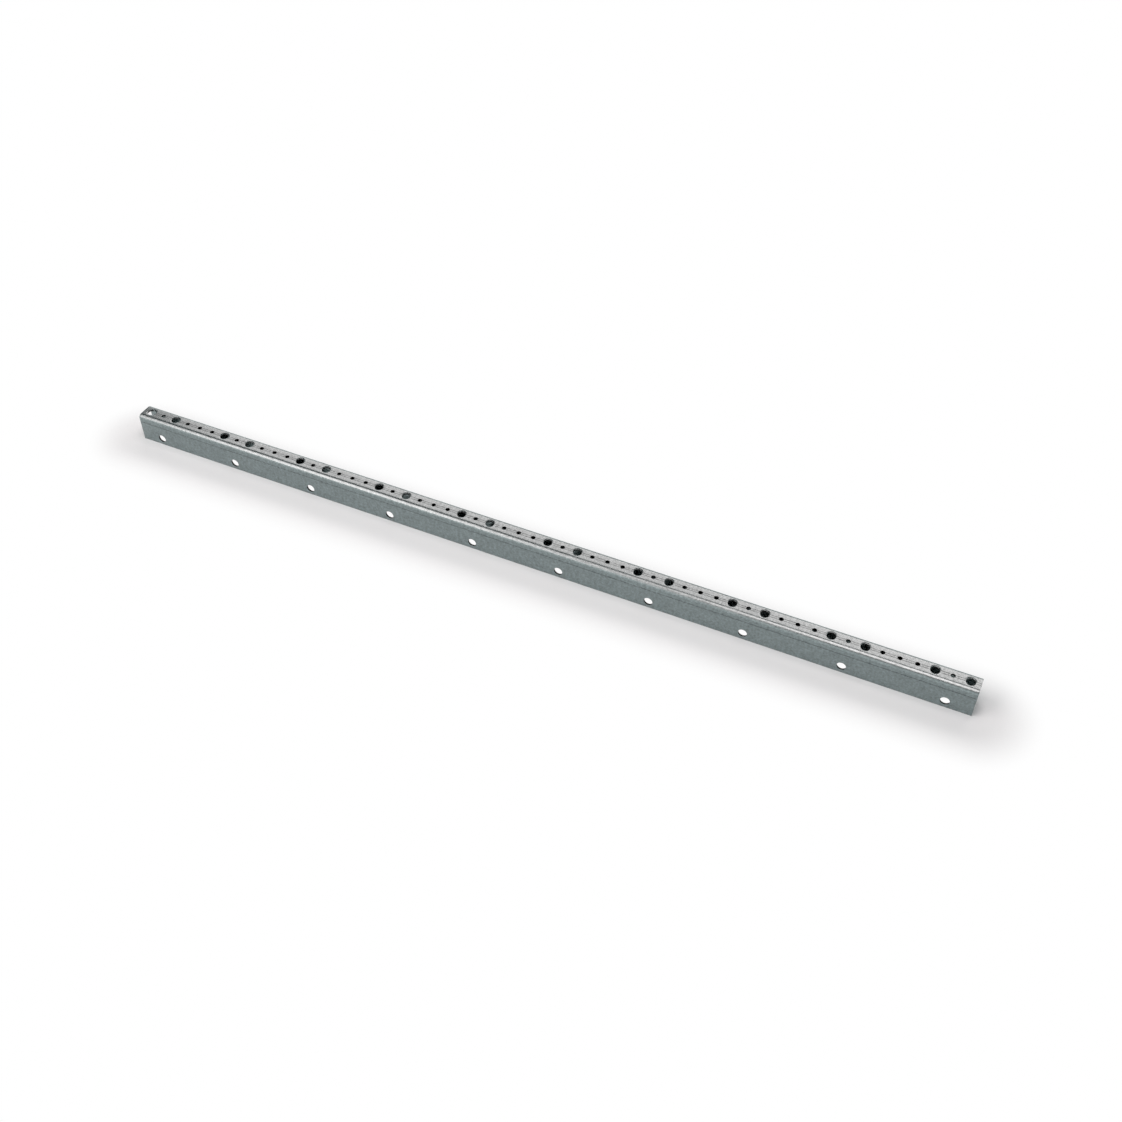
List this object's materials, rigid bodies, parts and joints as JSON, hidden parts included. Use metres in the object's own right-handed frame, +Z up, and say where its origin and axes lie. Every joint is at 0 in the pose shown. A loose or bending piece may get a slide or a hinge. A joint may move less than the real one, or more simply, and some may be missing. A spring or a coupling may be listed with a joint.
{
  "type": "mounting rail",
  "caption": "Folded sheet-steel U-channel rail with a row of large and small round holes along its web and fixing holes in a flange.",
  "frame": {"origin": "middle of the rail's base: halfway along, halfway across, level with the flanges' cut edges", "axes": "+X along the rail, +Z up out of the web's outer face, -Y out of the flange that has the fixing holes"},
  "size_m": [0.715, 0.016, 0.025],
  "materials": {
    "galvanised_steel": "satin hot-dip galvanised, fine rolling lines along the length"
  },
  "bodies": {
    "root": {"mounting_rail": "galvanised_steel"}
  },
  "joints": []
}
